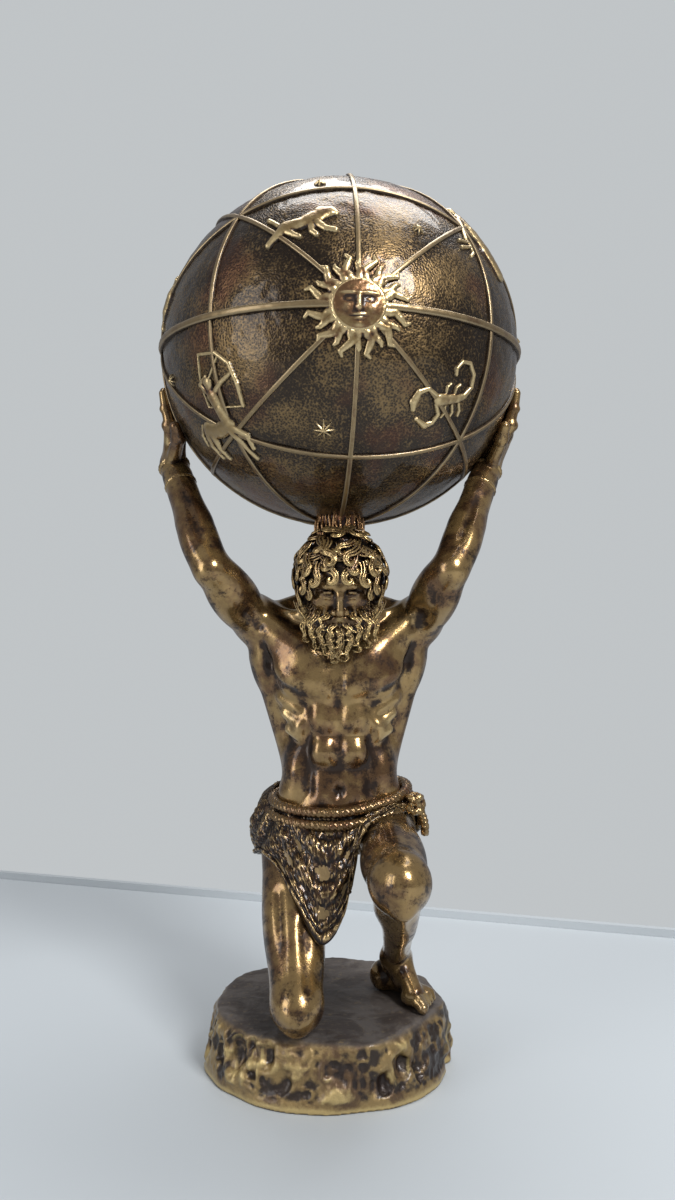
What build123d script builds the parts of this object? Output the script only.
from build123d import *
import os
from math import asin, atan2, cos, hypot, pi, radians, sin, sqrt

# A cast statuette: a kneeling, bearded Atlas who carries a celestial globe.
# Units are millimetres and degrees. The origin is the middle of the underside
# of the rock, +Z is up, and the figure faces -Y. Left and right are his own,
# so his right side is at -X. Directions on the globe are given as a longitude,
# counted from the sun towards +X, and a latitude.

os.makedirs("parts", exist_ok=True)

# ---------------------------------------------------------------- dimensions
# Rock
base_width = 105.5
base_depth = 105.0
base_height = 25.0
base_rim_height = 5.0
base_rim_inset = 1.5
base_shoulder_height = 15.0
base_top_inset = 4.5
base_facets = 17

# Legs: the right one kneels, the left one stands on its foot
kneeling_knee_side = -11.5
kneeling_knee_front = 40.0
kneeling_knee_radius = 12.3
kneeling_thigh_width = 31.0
kneeling_calf_width = 22.0
kneeling_ankle_back = 28.0
kneeling_ankle_width = 12.5
kneeling_foot_length = 19.0
kneeling_foot_width = 17.0
planted_knee_side = 27.5
planted_knee_front = 53.0
planted_knee_rise = 60.0
planted_knee_radius = 12.6
planted_thigh_width = 30.0
planted_calf_width = 21.0
planted_ankle_side = 28.5
planted_ankle_front = -1.0
planted_ankle_rise = 15.5
planted_ankle_width = 11.5
planted_foot_length = 36.0
planted_foot_width = 14.5
planted_foot_height = 10.0
planted_foot_turn = 37.0
planted_heel_back = 11.0
sole_sink = 0.6

# Trunk, upwards from the rock's top
hip_rise = 66.0
hip_spread = 20.0
hip_back = 7.0
trunk_side = 4.2
trunk_back = 3.0
groin_rise = 50.0
hips_width = 58.0
hips_depth = 41.0
belt_rise = 81.0
belt_body_width = 54.0
belt_body_depth = 38.0
waist_over_belt = 18.0
waist_width = 47.5
waist_depth = 34.0
chest_over_waist = 40.0
chest_width = 72.0
chest_depth = 43.0
shoulders_over_chest = 16.0
shoulders_width = 60.0
neck_over_shoulders = 7.0
neck_width = 27.0
pectoral_radius = 14.0

# Head, bowed forward
head_over_shoulders = 13.5
head_side = 5.0
head_front = 14.0
head_bow = 24.0
skull_radius = 14.2
skull_half_height = 18.5
hair_thickness = 4.3
hair_curl_radius = 3.7
hair_curls = 34
hair_curl_sink = 1.5
hair_drop = 10.5
beard_drop = 27.0
beard_half_width = 14.5
beard_locks = 7
beard_lock_radius = 3.4

# Globe
globe_radius = 73.0
globe_polar_radius = 69.8
globe_wall = 3.0
globe_back = 3.0
globe_side = 5.0
globe_turn = 5.0
globe_lean = 0.9
globe_stub_height = 4.4
globe_stub_width = 19.0
equator_band_width = 4.0
equator_band_height = 1.6
thin_band_width = 1.9
thin_band_height = 0.8
relief_height = 1.3
star_relief_height = 0.7
sun_face_radius = 9.8
sun_face_height = 5.0
sun_ray_length = 10.5
sun_ray_width = 3.0
sun_ray_height = 1.6
sun_rays = 24

# Arms
right_shoulder_spread = 33.0
left_shoulder_spread = 32.5
shoulder_drop = 2.0
shoulder_width = 19.0
right_elbow_spread = 17.0
left_elbow_spread = 12.0
elbow_front = 26.0
elbow_rise = 21.0
elbow_width = 13.0
upper_arm_width = 17.0
forearm_width = 15.0
wrist_width = 10.5
wrist_back = 2.0
right_wrist_angle = 35.8
right_wrist_standoff = 12.0
left_wrist_angle = 40.1
cuff_width = 13.2
cuff_length = 14.5
cuff_edge = 1.0
cuff_clearance = 0.3
hand_width = 16.5
hand_thickness = 6.5
knuckle_angle = 21.0
fingertip_angle = 10.5
finger_radius = 2.15
finger_gap = 0.3
thumb_radius = 2.4
thumb_spread = 15.0

# The smallest raised crumb, as a volume, that a mould would keep
smallest_detail = 2.0

# Loincloth and rope belt
cloth_thickness = 2.6
cloth_hem_rise = 58.0
cloth_tip_rise = 37.0
cloth_tip_front = 37.0
cloth_tip_width = 13.0
rope_radius = 2.5
rope_turn_gap = 0.3
rope_tilt = 7.0
rope_knot_radius = 4.4

# ------------------------------------------------------------------- helpers


def spheroid(centre, axis, half_length, radius):
    """A round solid, drawn out or flattened along one axis."""
    body = scale(Sphere(radius), by=(1, 1, half_length / radius))
    return Plane(origin=centre, z_dir=axis) * body


def rod(start, end, radius):
    """A straight rod with round ends."""
    along = end - start
    shaft = Plane(origin=start, z_dir=along) * Cylinder(
        radius, along.length, align=(Align.CENTER, Align.CENTER, Align.MIN)
    )
    return shaft + Pos(start) * Sphere(radius) + Pos(end) * Sphere(radius)


def limb(start, end, across, stations):
    """A limb through ellipses: share of its length, shift, width, thickness."""
    along = end - start
    side = (across - along * (across.dot(along) / along.dot(along))).normalized()
    front = side.cross(along).normalized()
    sections = []
    for share, shift, wide, thick in stations:
        centre = start + along * share + front * shift
        section = Ellipse(wide / 2, thick / 2)
        sections.append(Plane(origin=centre, x_dir=side, z_dir=along) * section)
    return loft(sections)


def stack(stations):
    """A trunk through level ellipses: height, side, back, width, depth."""
    sections = [Pos(side, back, z) * Ellipse(wide / 2, deep / 2)
                for z, side, back, wide, deep in stations]
    return loft(sections)


def carve(body, *tools):
    """A body cut back to the faces of its neighbours, one after another."""
    for tool in tools:
        body -= tool
    return body


def solid_parts(shape):
    """The solids of a shape that are big enough to be cast."""
    return [solid for solid in shape.solids() if solid.volume > smallest_detail]


def write(name, shape):
    """Write one node, as one solid or as a group of solids."""
    solids = solid_parts(shape)
    body = solids[0] if len(solids) == 1 else Compound(children=solids)
    export_step(body, os.path.join("parts", name + ".step"))


golden_turn = pi * (3 - sqrt(5))
X = Vector(1, 0, 0)
Y = Vector(0, 1, 0)
Z = Vector(0, 0, 1)

# ---------------------------------------------------------------------- rock


def rock_outline(inset, phase, roughness):
    """A many-sided outline whose corners stand in and out a little."""
    corners = []
    for corner in range(base_facets):
        angle = 2 * pi * corner / base_facets
        bulge = roughness * (sin(3 * angle + phase) + sin(5 * angle + 2 * phase)) / 2
        reach = 1 - roughness + bulge
        corners.append((
            (base_width / 2 - inset) * reach * cos(angle),
            (base_depth / 2 - inset) * reach * sin(angle),
        ))
    return make_face(Polyline(*corners, close=True))


def make_rock():
    """The rock: a flat foot, a rim, craggy sides and a level top."""
    levels = (
        (0, base_rim_inset, 0.4, 0.02),
        (base_rim_height, 0, 0.4, 0.02),
        (base_shoulder_height, base_rim_inset, 1.1, 0.035),
        (base_height, base_top_inset, 1.6, 0.04),
    )
    sections = [Pos(0, 0, z) * rock_outline(inset, phase, roughness)
                for z, inset, phase, roughness in levels]
    return loft(sections, ruled=True)


rock = make_rock()

# ---------------------------------------------------------------------- legs
ground = base_height
right_hip = Vector(trunk_side - hip_spread, hip_back, ground + hip_rise)
left_hip = Vector(trunk_side + hip_spread, hip_back, ground + hip_rise)
kneeling_knee = Vector(
    kneeling_knee_side, -kneeling_knee_front, ground + kneeling_knee_radius - sole_sink
)
kneeling_ankle = Vector(
    kneeling_knee_side - 1, kneeling_ankle_back, ground + kneeling_ankle_width / 2
)
kneeling_toes = Vector(
    kneeling_ankle.X, kneeling_ankle_back + kneeling_foot_length, ground + finger_radius
)
planted_knee = Vector(planted_knee_side, -planted_knee_front, ground + planted_knee_rise)
planted_ankle = Vector(
    planted_ankle_side, -planted_ankle_front, ground + planted_ankle_rise
)
foot_along = Vector(sin(radians(planted_foot_turn)), -cos(radians(planted_foot_turn)), 0)
heel = Vector(planted_ankle.X, planted_ankle.Y, ground) - foot_along * planted_heel_back

kneeling_thigh = limb(right_hip, kneeling_knee, X, (
    (-0.1, 0, 0.86 * kneeling_thigh_width, 0.9 * kneeling_thigh_width),
    (0.2, 0, kneeling_thigh_width, 1.12 * kneeling_thigh_width),
    (0.55, 0.5, 0.93 * kneeling_thigh_width, kneeling_thigh_width),
    (0.85, 0, 2 * kneeling_knee_radius, 2 * kneeling_knee_radius),
    (1.0, 0, 1.9 * kneeling_knee_radius, 1.8 * kneeling_knee_radius),
))
kneeling_thigh += Pos(kneeling_knee) * Sphere(kneeling_knee_radius)
kneeling_thigh -= rock

kneeling_shin = limb(kneeling_knee, kneeling_ankle, X, (
    (0, 0, 1.8 * kneeling_knee_radius, 1.7 * kneeling_knee_radius),
    (0.3, 0, kneeling_calf_width, 0.95 * kneeling_calf_width),
    (0.65, 0, 0.8 * kneeling_calf_width, 0.75 * kneeling_calf_width),
    (1.0, 0, kneeling_ankle_width, kneeling_ankle_width),
))
kneeling_shin += Pos(kneeling_ankle) * Sphere(kneeling_ankle_width / 2)
kneeling_shin -= rock
kneeling_shin -= kneeling_thigh

planted_thigh = limb(left_hip, planted_knee, X, (
    (-0.1, 0, 0.86 * planted_thigh_width, 0.95 * planted_thigh_width),
    (0.2, 0, planted_thigh_width, 1.15 * planted_thigh_width),
    (0.6, 0, 0.94 * planted_thigh_width, planted_thigh_width),
    (0.88, 0, 2 * planted_knee_radius, 2 * planted_knee_radius),
    (1.0, 0, 1.9 * planted_knee_radius, 1.85 * planted_knee_radius),
))
planted_thigh += Pos(planted_knee) * Sphere(planted_knee_radius)

planted_shin = limb(planted_knee, planted_ankle, X, (
    (0, 0, 1.8 * planted_knee_radius, 1.7 * planted_knee_radius),
    (0.35, 1, planted_calf_width, 1.1 * planted_calf_width),
    (0.7, 0.5, 0.72 * planted_calf_width, 0.8 * planted_calf_width),
    (1.0, 0, planted_ankle_width, 1.15 * planted_ankle_width),
))
planted_shin += Pos(planted_ankle) * Sphere(0.55 * planted_ankle_width)
planted_shin -= planted_thigh


def foot(heel_point, along, length, width, height):
    """A foot that lies flat, with five toes at its front."""
    across = Vector(-along.Y, along.X, 0)
    centre = heel_point + Z * (height * 0.45)
    sole = limb(centre, centre + along * length, across, (
        (0, 0, 0.5 * width, 0.5 * height),
        (0.12, 0, 0.72 * width, 1.2 * height),
        (0.45, 0, 0.8 * width, 1.3 * height),
        (0.75, 0, width, 0.85 * height),
        (0.9, 0, 0.9 * width, 0.6 * height),
    ))
    toe = width / 10
    for number in range(5):
        shift = (number - 2) * 2 * toe
        tip = heel_point + along * (length - toe * abs(number - 1) * 0.9) + across * shift
        root = tip - along * (length * 0.25)
        sole += rod(root + Z * (height * 0.4), tip + Z * toe, toe)
    return sole


planted_foot = foot(
    heel, foot_along, planted_foot_length, planted_foot_width, planted_foot_height
)
planted_foot -= planted_shin
planted_foot -= rock

kneeling_foot = limb(kneeling_ankle, kneeling_toes, X, (
    (0, 0, 0.75 * kneeling_foot_width, 0.9 * kneeling_ankle_width),
    (0.5, 0, kneeling_foot_width, 0.75 * kneeling_ankle_width),
    (1.0, 0, 0.95 * kneeling_foot_width, 2 * finger_radius),
))
kneeling_foot -= kneeling_shin
kneeling_foot -= rock

# --------------------------------------------------------------------- trunk
belt_height = ground + belt_rise
waist_height = belt_height + waist_over_belt
chest_height = waist_height + chest_over_waist
shoulder_height = chest_height + shoulders_over_chest

hips = stack((
    (ground + groin_rise, trunk_side, trunk_back + 1, 0.6 * hips_width, 0.7 * hips_depth),
    (ground + hip_rise - 4, trunk_side, trunk_back + 2, hips_width, 1.05 * hips_depth),
    (ground + hip_rise + 6, trunk_side, trunk_back + 2, hips_width, hips_depth),
    (belt_height, trunk_side, trunk_back + 1, belt_body_width, belt_body_depth),
))
hips -= kneeling_thigh
hips -= planted_thigh

torso = stack((
    (belt_height, trunk_side, trunk_back + 1, belt_body_width, belt_body_depth),
    (waist_height, trunk_side, trunk_back, waist_width, waist_depth),
    (waist_height + 0.5 * chest_over_waist, trunk_side - 0.5, trunk_back - 1,
     (waist_width + chest_width) / 2 + 2, (waist_depth + chest_depth) / 2),
    (chest_height - 6, trunk_side - 0.5, trunk_back, chest_width, chest_depth),
    (chest_height + 6, trunk_side - 0.5, trunk_back + 1, chest_width, 0.97 * chest_depth),
    (shoulder_height, trunk_side, trunk_back + 2, shoulders_width, 0.74 * chest_depth),
    (shoulder_height + neck_over_shoulders, trunk_side + 0.4, trunk_back,
     1.2 * neck_width, 0.95 * neck_width),
))
chest_front = trunk_back - chest_depth / 2
for side in (-1, 1):
    pectoral = Vector(
        trunk_side + side * 1.1 * pectoral_radius, chest_front + 0.72 * pectoral_radius,
        chest_height,
    )
    torso += Pos(pectoral) * Sphere(pectoral_radius)
torso = carve(torso, kneeling_thigh, planted_thigh)
belly_front = trunk_back - waist_depth / 2
for row in range(3):
    for side in (-1, 1):
        belly = Vector(
            trunk_side + side * waist_width * 0.13,
            belly_front + 2.5 - 0.7 * row,
            waist_height + (row - 0.4) * chest_over_waist * 0.24,
        )
        torso += Pos(belly) * Sphere(0.12 * waist_width)

# ---------------------------------------------------------------------- head
head_up = Vector(0, -sin(radians(head_bow)), cos(radians(head_bow)))
face_out = Vector(0, -cos(radians(head_bow)), -sin(radians(head_bow)))
head_centre = Vector(head_side, -head_front, shoulder_height + head_over_shoulders)

head = spheroid(head_centre, head_up, skull_half_height, skull_radius)
brow_centre = head_centre + face_out * (0.8 * skull_radius) + head_up * 3.5
nose_top = brow_centre + face_out * (0.06 * skull_radius)
nose_tip = head_centre + face_out * (1.12 * skull_radius) - head_up * 5.5
brow = spheroid(brow_centre, X, 0.55 * skull_radius, 0.24 * skull_radius)
head += brow + rod(nose_top, nose_tip, 0.13 * skull_radius)
head -= torso

neck = limb(
    Vector(trunk_side + 0.4, trunk_back, shoulder_height + neck_over_shoulders - 3),
    head_centre, X, (
        (0, 0, 1.05 * neck_width, 0.95 * neck_width),
        (0.5, 0, 0.95 * neck_width, 0.9 * neck_width),
        (0.85, 0, 0.9 * neck_width, 0.9 * neck_width),
    ),
)
neck -= torso
neck -= head

# --------------------------------------------------------------------- globe
hair_top = head_centre.Z + (skull_half_height + hair_thickness) * cos(radians(head_bow))
globe_centre = Vector(
    globe_side, globe_back, hair_top + globe_stub_height + globe_polar_radius
)


def globe_body(extra):
    """The globe grown outward by an extra thickness, before it is flattened."""
    return Sphere(globe_radius + extra)


def place_globe(shape):
    """Flatten a piece of the globe towards its poles and set it over the head."""
    flat = scale(shape, by=(1, 1, globe_polar_radius / globe_radius))
    return Pos(globe_centre) * Rotation(0, globe_lean, globe_turn) * flat


def globe_direction(longitude, latitude):
    """A unit vector from the globe's centre, in the globe's own frame."""
    lon = radians(longitude)
    lat = radians(latitude)
    return Vector(sin(lon) * cos(lat), -cos(lon) * cos(lat), sin(lat))


def globe_half(side, gap=0):
    """Room over (1) or under (-1) the equator, at least a gap away from it."""
    reach = 2 * globe_radius
    return Pos(0, 0, side * (reach / 2 + gap)) * Box(2 * reach, 2 * reach, reach)


globe_solid = globe_body(0)
globe_hollow = globe_solid - globe_body(-globe_wall)
globe_upper_shell = globe_hollow & globe_half(1)
globe_lower_shell = globe_hollow & globe_half(-1)

slab = Box(4 * globe_radius, 4 * globe_radius, thin_band_width)
equator_slab = Box(4 * globe_radius, 4 * globe_radius, equator_band_width)
equator_band = (globe_body(equator_band_height) & equator_slab) - globe_solid

# The bands lie in the mirror planes of a cube whose faces look up, forward and sideways
band_turns = (
    (90, 0), (0, 90), (45, 0), (-45, 0), (0, 45), (0, -45), (90, 45), (90, -45),
)


def band_slab(tip_forward, tip_sideways):
    """The slab that cuts one great-circle band."""
    if tip_forward == 90:
        return Rotation(0, 0, tip_sideways) * Rotation(90, 0, 0) * slab
    return Rotation(tip_forward, tip_sideways, 0) * slab


thin_skin = globe_body(thin_band_height) - globe_solid
all_slabs = Part() + [band_slab(*turns) for turns in band_turns]
upper_bands = (thin_skin & globe_half(1, equator_band_width / 2)) & all_slabs
lower_bands = (thin_skin & globe_half(-1, equator_band_width / 2)) & all_slabs

# ------------------------------------------------------------------- reliefs


def stroke(points):
    """The pieces of a drawn stroke: circles along a line and the tapers between."""
    pieces = [Pos(x, y) * Circle(r) for x, y, r in points]
    for (x1, y1, r1), (x2, y2, r2) in zip(points, points[1:]):
        gap = hypot(x2 - x1, y2 - y1)
        turn = atan2(y2 - y1, x2 - x1)
        lean = asin(max(-1.0, min(1.0, (r1 - r2) / gap)))
        up = turn + pi / 2 - lean
        down = turn - pi / 2 + lean
        pieces.append(make_face(Polyline(
            (x1 + r1 * cos(up), y1 + r1 * sin(up)),
            (x2 + r2 * cos(up), y2 + r2 * sin(up)),
            (x2 + r2 * cos(down), y2 + r2 * sin(down)),
            (x1 + r1 * cos(down), y1 + r1 * sin(down)),
            close=True,
        )))
    return pieces


def drawing(strokes):
    """One flat shape from many strokes."""
    return Sketch() + [piece for points in strokes for piece in stroke(points)]


def column_on_globe(shape, longitude, latitude, turn=0):
    """A flat shape as a column that stands out through the globe's skin."""
    out = globe_direction(longitude, latitude)
    east = Vector(cos(radians(longitude)), sin(radians(longitude)), 0)
    start = Plane(origin=out * (0.6 * globe_radius), x_dir=east, z_dir=out)
    return extrude(start * Rotation(0, 0, turn) * shape, 0.6 * globe_radius, dir=out)


def raised(column, height):
    """The part of a column that stands on the globe's skin."""
    return (column & globe_body(height)) - globe_solid


def star(points, outer, inner):
    """A star with straight-sided points."""
    corners = []
    for corner in range(2 * points):
        reach = outer if corner % 2 == 0 else inner
        angle = pi * corner / points + pi / 2
        corners.append((reach * cos(angle), reach * sin(angle)))
    return make_face(Polyline(*corners, close=True))


lion = (
    ((-6.5, -0.8, 3.1), (-1, 0.2, 2.6), (4, 2.2, 3.9)),
    ((6.8, 4.6, 4.0), (9.5, 5, 2.8), (11.6, 4.2, 1.5)),
    ((5, -0.5, 1.9), (8, -3.4, 1.4), (11.6, -4.4, 1.2)),
    ((3, -1, 1.7), (3.2, -4.4, 1.2), (4.8, -6, 1.1)),
    ((-7.5, -2, 2.3), (-11, -5.2, 1.4), (-13.2, -7.6, 1.2)),
    ((-6, -2.5, 2), (-3.6, -4.8, 1.3), (-1.4, -6.2, 1.1)),
    ((-9, 0.8, 1.1), (-11, 3.4, 0.9), (-13, 5.4, 1.1)),
)
archer = (
    ((-12, -7, 4.1), (-6, -7.4, 3.4), (0, -5.6, 3.5)),
    ((-13.5, -8, 2.8), (-15.5, -14, 1.5), (-13.5, -20, 1.0)),
    ((-11, -9, 2.4), (-11.5, -15, 1.4), (-9.5, -20.5, 1.0)),
    ((0, -7.6, 2.3), (2.4, -13.4, 1.4), (5.4, -22, 1.0)),
    ((1.4, -7, 2.1), (6.6, -11, 1.3), (6.4, -17, 1.0)),
    ((0, -5, 2.9), (-1.4, 1, 2.5), (-3, 6.4, 2.9)),
    ((-3.4, 8, 1.5), (-3.8, 11.8, 2.3)),
    ((-2, 7.4, 1.3), (3, 11, 1.1), (8.6, 13.6, 0.9)),
    ((-4.6, 7.4, 1.3), (-8.4, 11.4, 1.1), (-4.4, 14.2, 0.9)),
    ((-7, 23.5, 0.7), (2.6, 22.6, 0.9), (8.6, 17.4, 1.0), (10.4, 9, 1.0), (10, 0.5, 0.7)),
    ((-7, 23.5, 0.45), (-8, 12, 0.45), (-7, 2.4, 0.45), (10, 0.5, 0.45)),
    ((-7.6, 7.6, 0.5), (4, 21.4, 0.5)),
    ((-15.6, -5, 1.2), (-19, -9, 1.0), (-19.4, -14, 0.7)),
)
scorpion = (
    ((-1, -0.5, 2.6), (3, 0.3, 2.1), (7, 1, 1.8), (10, 2.2, 1.4)),
    ((10, 2.2, 1.3), (13, 6, 1.0), (13, 11, 0.95), (10, 15, 0.95), (6, 15, 0.85),
     (3.6, 12, 0.8), (4, 9.6, 0.6)),
    ((-3, 1, 1.0), (-7, 2.8, 1.0), (-10.4, 1, 1.3), (-11.6, -3, 1.8), (-10.8, -6, 1.0)),
    ((-2, -2.4, 0.9), (0.4, -6, 0.9), (-1, -9.6, 1.0), (-4, -11.2, 1.5), (-8, -9.4, 0.9)),
    ((2, -1.5, 0.7), (3, -5, 0.6), (2, -7, 0.5)),
    ((5, -1, 0.7), (6.6, -4.4, 0.6), (6, -6.6, 0.5)),
    ((8, 0, 0.7), (10, -3.4, 0.6), (10, -5.6, 0.5)),
    ((1, 2, 0.7), (1, 4.6, 0.6), (2.4, 6.2, 0.5)),
    ((5, 2.4, 0.7), (5.4, 5, 0.6), (7, 6.4, 0.5)),
)
maiden = (
    ((-2.6, 16.4, 2.2), (-2, 12.4, 1.5)),
    ((-1.6, 11.4, 3.0), (-0.4, 4.6, 2.6)),
    ((-0.4, 4.6, 2.9), (2.4, -5, 4.2), (6.4, -15, 3.6)),
    ((0.4, 11.4, 1.6), (6.6, 14.4, 2.2), (9.4, 8.6, 1.4)),
    ((0.4, 9.4, 1.4), (6, 6.4, 1.9), (6.8, 1, 1.1)),
    ((-3, 11, 1.3), (-8, 4.4, 1.1), (-13, -4.6, 1.0)),
    ((-12, -6.4, 0.8), (-18.4, -6, 0.8)),
    ((-12.6, -8.4, 0.8), (-19, -9.6, 0.8)),
    ((-12.6, -4.4, 0.9), (-12.8, -11.4, 0.8), (-15.4, -13.4, 0.8)),
)
bull = (
    ((-8, 0, 4), (-1, 0.4, 3.7), (5, 1.4, 4.4)),
    ((7, 2.4, 3.2), (11.4, 1, 2.4), (13.4, -1, 1.6)),
    ((10.4, 3.6, 0.9), (12.4, 6.6, 0.8), (15, 7, 0.5)),
    ((5.6, -2, 1.9), (8.6, -6, 1.3), (11.4, -6.6, 1.1)),
    ((3.4, -2.4, 1.8), (4, -7.4, 1.2), (3, -10.4, 1.1)),
    ((-9, -2, 2.2), (-11, -7, 1.3), (-10, -10.6, 1.1)),
    ((-6, -3, 2), (-5, -7.6, 1.2), (-6, -10.6, 1.1)),
    ((-11.4, 2.4, 0.9), (-14.6, 0, 0.7), (-14.6, -5, 1.1)),
)
fishes = (
    ((-9, 6, 0.9), (-4, 6.4, 2.9), (2, 6, 2.6), (7, 5, 0.8)),
    ((7, 5, 0.8), (9.6, 7, 1.2)),
    ((7, 5, 0.8), (9.6, 3.4, 1.2)),
    ((9, -6, 0.9), (4, -6.4, 2.9), (-2, -6, 2.6), (-7, -5, 0.8)),
    ((-7, -5, 0.8), (-9.6, -7, 1.2)),
    ((-7, -5, 0.8), (-9.6, -3.4, 1.2)),
    ((-9, 6, 0.5), (-11.6, 0, 0.5), (-7, -5, 0.5)),
)
crab = (
    ((-3.4, 0, 4.2), (3.4, 0, 4.2)),
    ((-5, 3, 1.2), (-9.4, 6.4, 1.2), (-8, 10.4, 1.8), (-5.4, 11.6, 0.8)),
    ((5, 3, 1.2), (9.4, 6.4, 1.2), (8, 10.4, 1.8), (5.4, 11.6, 0.8)),
    ((-6, 0.6, 0.8), (-12, 2, 0.7), (-14, -1, 0.5)),
    ((6, 0.6, 0.8), (12, 2, 0.7), (14, -1, 0.5)),
    ((-6, -1.4, 0.8), (-11.4, -3.4, 0.7), (-12.4, -7, 0.5)),
    ((6, -1.4, 0.8), (11.4, -3.4, 0.7), (12.4, -7, 0.5)),
    ((-4.4, -3, 0.8), (-8, -7.4, 0.7), (-8, -10.4, 0.5)),
    ((4.4, -3, 0.8), (8, -7.4, 0.7), (8, -10.4, 0.5)),
)
scales = (
    ((-10.4, 6, 0.8), (10.4, 6, 0.8)),
    ((0, 10.4, 1.2), (0, -9.4, 0.9)),
    ((-3.4, -9.8, 1.0), (3.4, -9.8, 1.0)),
    ((-10, 5.6, 0.45), (-13, -2, 0.45)),
    ((-10, 5.6, 0.45), (-7, -2, 0.45)),
    ((10, 5.6, 0.45), (13, -2, 0.45)),
    ((10, 5.6, 0.45), (7, -2, 0.45)),
    ((-13.4, -2.6, 0.9), (-10, -3.8, 1.3), (-6.6, -2.6, 0.9)),
    ((13.4, -2.6, 0.9), (10, -3.8, 1.3), (6.6, -2.6, 0.9)),
)
figures = {
    "lion_relief": (lion, -17, 26.5, 6),
    "archer_relief": (archer, -46, -28, 0),
    "scorpion_relief": (scorpion, 29, -24, 0),
    "maiden_relief": (maiden, 53, 33, 0),
    "fishes_relief": (fishes, -82, 14, 60),
    "scales_relief": (scales, 108, -24, 0),
    "bull_relief": (bull, 146, 26, 0),
    "crab_relief": (crab, -140, -25, 0),
}
upper_figures = [name for name, figure in figures.items() if figure[2] > 15]
lower_figures = [name for name, figure in figures.items() if figure[2] < -15]
figure_columns = {
    name: column_on_globe(drawing(strokes), longitude, latitude, turn)
    for name, (strokes, longitude, latitude, turn) in figures.items()
}

# Each star: longitude, latitude, points, reach
stars = (
    (-10, -36, 8, 4.2),
    (20, 27, 6, 2.6),
    (-15, 49, 4, 2.4),
    (-72, -14, 6, 2.6),
    (80, 5, 6, 2.6),
    (100, 38, 8, 4.2),
    (-120, 32, 6, 2.8),
    (172, -30, 8, 4.2),
)
star_columns = [
    column_on_globe(star(points, reach, 0.42 * reach), longitude, latitude)
    for longitude, latitude, points, reach in stars
]
star_reliefs = Part() + [raised(column, star_relief_height) for column in star_columns]

# The sun: a domed face in a ring of straight and waved rays
sun_out = globe_direction(0, 0)
sun_column = column_on_globe(Circle(sun_face_radius), 0, 0)
sun_dome_radius = (sun_face_radius ** 2 + sun_face_height ** 2) / (2 * sun_face_height)
sun_edge = sqrt(globe_radius ** 2 - sun_face_radius ** 2) - 0.5
sun_dome = Pos(sun_out * (sun_edge + sun_face_height - sun_dome_radius)) * Sphere(sun_dome_radius)
sun_face = (sun_column & (sun_dome + globe_body(sun_ray_height))) - globe_solid


def sun_ray(number):
    """The pieces of one flame ray: odd ones are longer and waved."""
    waved = number % 2 == 1
    length = sun_ray_length * (1.0 if waved else 0.72)
    sway = 0.3 * sun_ray_width if waved else 0
    root = sun_ray_width / 2
    turn = Rotation(0, 0, 360 * number / sun_rays)
    return [turn * piece for piece in stroke((
        (sun_face_radius - root, 0, 0.9 * root),
        (sun_face_radius + 0.35 * length, sway, 0.8 * root),
        (sun_face_radius + 0.7 * length, -sway, 0.5 * root),
        (sun_face_radius + length, 0.5 * sway, 0.2 * root),
    ))]


sun_flames = Sketch() + [piece for number in range(sun_rays) for piece in sun_ray(number)]
flame_column = column_on_globe(sun_flames, 0, 0)
sun_rays_ring = raised(flame_column - sun_column, sun_ray_height)

# The bands stop at the reliefs that cover them
over_all = [sun_column, flame_column, figure_columns["fishes_relief"]] + star_columns
equator_band -= over_all
upper_bands -= over_all + [figure_columns[name] for name in upper_figures]
lower_bands -= over_all + [figure_columns[name] for name in lower_figures]

placed_globe = place_globe(globe_solid)
globe_clearance = place_globe(globe_body(thin_band_height))
placed_lower_bands = place_globe(lower_bands)

# ------------------------------------------------------------- hair and beard
hair_radius = skull_radius + hair_thickness
hair_centre = head_centre + head_up * (skull_half_height - skull_radius) - face_out * 1.5
hair_place = Plane(origin=hair_centre, x_dir=X, z_dir=head_up)
hair_room = Box(
    4 * hair_radius, 4 * hair_radius, 4 * hair_radius,
    align=(Align.CENTER, Align.CENTER, Align.MIN),
)
face_window = Pos(0, -0.45 * skull_radius, 0) * Box(
    1.5 * skull_radius, 2 * hair_radius, hair_radius,
    align=(Align.CENTER, Align.MAX, Align.MAX),
)
hair = Sphere(hair_radius) & (Pos(0, 0, -hair_drop) * hair_room)
hair = hair_place * (hair - face_window)
curls = []
for curl in range(hair_curls):
    tilt = asin(0.97 - 1.25 * (curl + 0.5) / hair_curls)
    turn = golden_turn * curl
    around = X * (cos(turn) * cos(tilt)) + face_out * (sin(turn) * cos(tilt))
    outward = around + head_up * sin(tilt)
    if around.dot(face_out) < 0.5 or sin(tilt) > 0.45:
        centre = hair_centre + outward * (hair_radius - hair_curl_sink)
        curls.append(Plane(origin=centre, z_dir=outward) * Sphere(hair_curl_radius))
hair += curls
hair = carve(hair, head, neck, torso, globe_clearance)

# The stub: a short tuft between the curls and the globe
stub_foot = Vector(head_centre.X, head_centre.Y / 2, hair_top - hair_radius / 2)
globe_stub = Pos(stub_foot) * Cone(
    0.62 * globe_stub_width, globe_stub_width / 2, hair_radius / 2 + 2 * globe_stub_height,
    align=(Align.CENTER, Align.CENTER, Align.MIN),
)
globe_stub = carve(globe_stub, head, neck, torso, hair, globe_clearance)

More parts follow.
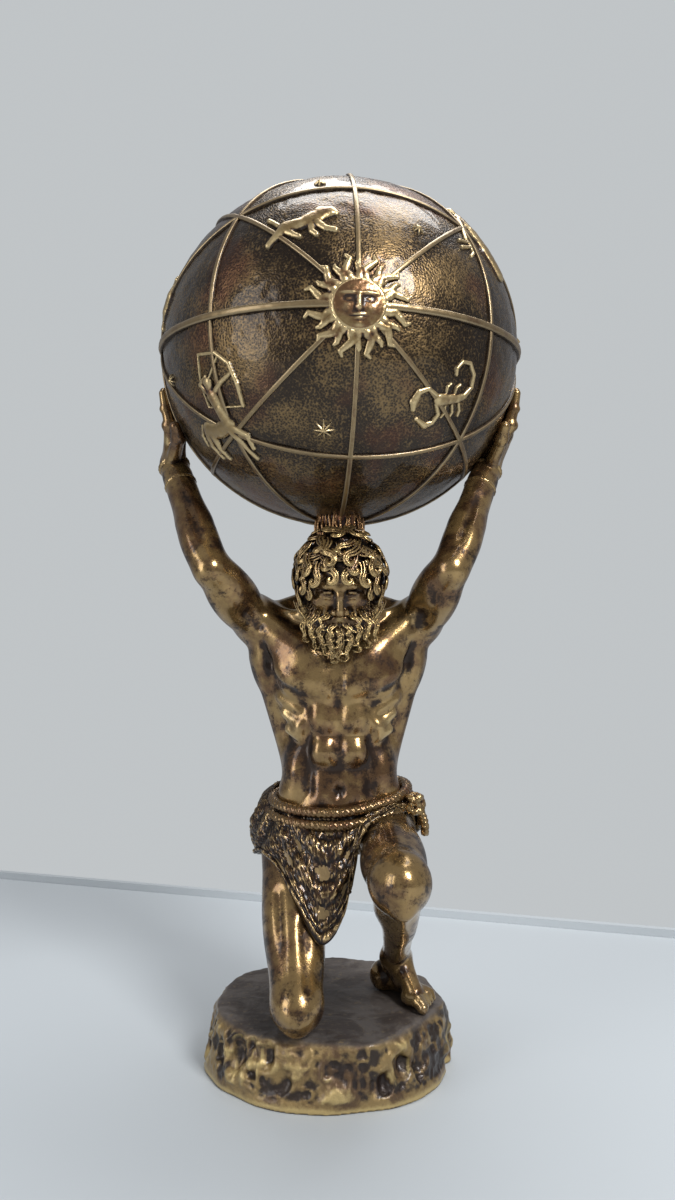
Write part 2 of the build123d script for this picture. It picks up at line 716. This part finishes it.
beard = spheroid(
    head_centre + face_out * 6.5 - head_up * 12.5, head_up, 11.5, 0.62 * skull_radius
)
for lock in range(beard_locks):
    spread = 2 * lock / (beard_locks - 1) - 1
    root = head_centre + X * (spread * beard_half_width) - head_up * (6 + 3 * (1 - abs(spread)))
    root += face_out * (11 * (1 - spread * spread) + 1)
    tip = head_centre + X * (spread * 0.85 * beard_half_width)
    tip += face_out * (8 * (1 - spread * spread) + 4)
    tip -= Z * ((beard_drop - 4) * (1 - 0.45 * abs(spread)))
    beard += rod(root, tip, beard_lock_radius)
beard = carve(beard, head, neck, torso, hair)

# ---------------------------------------------------------------------- arms


def globe_reach(angle):
    """The distance from the globe's centre to its skin, at an angle from level."""
    level = cos(radians(angle)) / globe_radius
    upright = sin(radians(angle)) / globe_polar_radius
    return 1 / sqrt(level ** 2 + upright ** 2)


def beside_globe(side, angle, standoff, back):
    """A point beside the globe's lower half, outside its skin by the standoff."""
    reach = globe_reach(angle) + standoff
    return globe_centre + Vector(
        side * reach * cos(radians(angle)), back, -reach * sin(radians(angle))
    )


def make_arm(side, shoulder, wrist, elbow_spread):
    """The upper arm, the forearm and the cuff of one side."""
    elbow = shoulder + Vector(side * elbow_spread, -elbow_front, elbow_rise)
    upper = limb(shoulder, elbow, Y, (
        (-0.2, 0, 0.85 * shoulder_width, 0.8 * shoulder_width),
        (0.15, 0, 1.1 * shoulder_width, shoulder_width),
        (0.55, 0, upper_arm_width, upper_arm_width),
        (0.9, 0, 1.02 * elbow_width, elbow_width),
        (1.0, 0, 0.95 * elbow_width, 0.95 * elbow_width),
    ))
    upper += Pos(elbow) * Sphere(elbow_width / 2)
    upper += Pos(shoulder) * Sphere(shoulder_width / 2)
    upper -= torso
    reach = wrist - elbow
    lower = limb(elbow, wrist, Y, (
        (0, 0, 0.95 * elbow_width, 0.95 * elbow_width),
        (0.3, 0, forearm_width, forearm_width),
        (0.65, 0, 0.86 * forearm_width, 0.84 * forearm_width),
        (1.0, 0, wrist_width, wrist_width),
    ))
    lower -= upper
    cuff_plane = Plane(origin=wrist, z_dir=reach)
    ring = Cylinder(cuff_width / 2, cuff_length)
    ring = fillet(ring.edges().filter_by(GeomType.CIRCLE), cuff_edge)
    cuff = (cuff_plane * ring) - lower
    cuff -= cuff_plane * Pos(0, 0, cuff_length / 2) * Cylinder(wrist_width / 2, cuff_length)
    cuff -= globe_clearance
    return upper, lower, cuff, elbow


def make_hand(side, wrist, elbow):
    """An open hand that lies against the globe with its fingers up."""
    along = (wrist - elbow).normalized()
    root = wrist + along * 0.01
    knuckle = beside_globe(side, knuckle_angle, hand_thickness / 2 - 0.6, wrist_back)
    hand = rod(root, wrist + along * (cuff_length / 2 + 1), wrist_width / 2 - 0.2)
    hand &= Plane(origin=wrist, z_dir=along) * Cylinder(
        wrist_width / 2, 4 * cuff_length, align=(Align.CENTER, Align.CENTER, Align.MIN)
    )
    hand += limb(wrist + along * (cuff_length / 2), knuckle, Y, (
        (0, 0, wrist_width, 0.9 * wrist_width),
        (0.4, 0, 0.95 * hand_width, 1.15 * hand_thickness),
        (1.0, 0, hand_width, hand_thickness),
    ))
    pitch = hand_width / 4
    for finger in range(4):
        place = (finger - 1.5) * pitch
        middle = 1 - abs(finger - 1.4) * 0.12
        low = beside_globe(side, knuckle_angle + 1, finger_radius, wrist_back + place)
        high_angle = knuckle_angle - (knuckle_angle - fingertip_angle) * middle
        high = beside_globe(side, high_angle, finger_radius, wrist_back + 1.1 * place)
        hand += rod(low, high, finger_radius - finger_gap / 2)
    thumb_root = wrist + along * (cuff_length / 2 + thumb_radius) - Y * (0.2 * hand_width)
    thumb_tip = beside_globe(side, knuckle_angle + 3, thumb_radius, wrist_back - thumb_spread)
    hand += rod(thumb_root, thumb_tip, thumb_radius)
    return hand - globe_clearance


right_shoulder = Vector(
    trunk_side - right_shoulder_spread, trunk_back + 1, shoulder_height - shoulder_drop
)
left_shoulder = Vector(
    trunk_side + left_shoulder_spread, trunk_back + 1, shoulder_height - shoulder_drop
)
right_wrist = beside_globe(-1, right_wrist_angle, right_wrist_standoff, wrist_back)
left_wrist_standoff = cuff_width / 2 + cuff_clearance
left_wrist = beside_globe(1, left_wrist_angle, left_wrist_standoff, wrist_back)

right_upper_arm, right_forearm, right_cuff, right_elbow = make_arm(
    -1, right_shoulder, right_wrist, right_elbow_spread
)
left_upper_arm, left_forearm, left_cuff, left_elbow = make_arm(
    1, left_shoulder, left_wrist, left_elbow_spread
)
right_hand = make_hand(-1, right_wrist, right_elbow)
right_hand -= right_cuff
right_hand -= right_forearm
left_hand = make_hand(1, left_wrist, left_elbow)
left_hand -= left_cuff
left_hand -= left_forearm

# ------------------------------------------------------- loincloth and ropes


def belt_ring(height, grow):
    """One turn of rope: a ring round the trunk that leans a little."""
    across = (hips_width + belt_body_width) / 4 + grow
    deep = (hips_depth + belt_body_depth) / 4 + grow
    path = (Rotation(0, 0, 90) * Ellipse(deep, across)).wire()
    profile = Plane(origin=path @ 0, z_dir=path % 0) * Circle(rope_radius)
    lean = Pos(trunk_side, trunk_back + 1, height) * Rotation(0, -rope_tilt, 0)
    return lean * sweep(profile, path)


cloth_top = belt_height + rope_radius
cloth = stack((
    (ground + cloth_hem_rise, trunk_side - 2, trunk_back - 7,
     hips_width + 1.4 * cloth_thickness, hips_depth + 12 + 2 * cloth_thickness),
    (ground + hip_rise + 4, trunk_side, trunk_back,
     hips_width + 2.6 * cloth_thickness, hips_depth + 5 + 2 * cloth_thickness),
    (belt_height - rope_radius, trunk_side, trunk_back + 1,
     hips_width + 1.2 * cloth_thickness, belt_body_depth + 2 * cloth_thickness),
    (cloth_top, trunk_side, trunk_back + 1,
     belt_body_width + cloth_thickness, belt_body_depth + cloth_thickness),
))
panel_top = Vector(trunk_side - 4, trunk_back - hips_depth / 2, ground + hip_rise + 8)
panel_tip = Vector(trunk_side - 5, -cloth_tip_front, ground + cloth_tip_rise)
cloth += limb(panel_top, panel_tip, X, (
    (0, 0, 2.9 * cloth_tip_width, 5 * cloth_thickness),
    (0.5, 0, 2.4 * cloth_tip_width, 5 * cloth_thickness),
    (1.0, 0, cloth_tip_width, 2 * cloth_thickness),
))
cloth = carve(cloth, hips, torso, kneeling_thigh, planted_thigh)

rope_pitch = 2 * rope_radius + rope_turn_gap
rope_lower_turn = belt_ring(belt_height - rope_pitch, cloth_thickness + 0.4)
rope_upper_turn = belt_ring(belt_height, cloth_thickness - 0.6)
rope_lower_turn = carve(rope_lower_turn, cloth, hips, torso, planted_thigh, kneeling_thigh)
rope_upper_turn = carve(rope_upper_turn, cloth, hips, torso, planted_thigh, kneeling_thigh)
rope_upper_turn -= rope_lower_turn
knot_side = trunk_side + (hips_width + belt_body_width) / 4 + cloth_thickness
knot_centre = Vector(knot_side + 2, trunk_back - 6, belt_height - rope_radius + 2)
rope_knot = Pos(knot_centre) * Sphere(rope_knot_radius)
for tail in (-1, 1):
    tail_end = knot_centre + Vector(1.5, -5 + 3 * tail, -12 - 2 * tail)
    rope_knot += rod(knot_centre, tail_end, 0.7 * rope_radius)
rope_knot = carve(rope_knot, rope_upper_turn, rope_lower_turn, cloth, planted_thigh)

# ---------------------------------------------------------------------- write
write("rock_base", rock)
write("kneeling_thigh", kneeling_thigh)
write("kneeling_shin", kneeling_shin)
write("kneeling_foot", kneeling_foot)
write("planted_thigh", planted_thigh)
write("planted_shin", planted_shin)
write("planted_foot", planted_foot)
write("hips", hips)
write("torso", torso)
write("neck", neck)
write("head", head)
write("hair", hair)
write("beard", beard)
write("globe_stub", globe_stub)
write("right_upper_arm", right_upper_arm)
write("right_forearm", right_forearm)
write("right_cuff", right_cuff)
write("right_hand", right_hand)
write("left_upper_arm", left_upper_arm)
write("left_forearm", left_forearm)
write("left_cuff", left_cuff)
write("left_hand", left_hand)
write("loincloth", cloth)
write("rope_upper_turn", rope_upper_turn)
write("rope_lower_turn", rope_lower_turn)
write("rope_knot", rope_knot)
write("globe_upper_shell", place_globe(globe_upper_shell))
write("globe_lower_shell", place_globe(globe_lower_shell))
write("equator_band", place_globe(equator_band))
write("upper_bands", place_globe(upper_bands))
write("lower_bands", placed_lower_bands)
write("sun_face", place_globe(sun_face))
write("sun_rays", place_globe(sun_rays_ring))
write("star_reliefs", place_globe(star_reliefs))
for name, column in figure_columns.items():
    write(name, place_globe(raised(column, relief_height)))
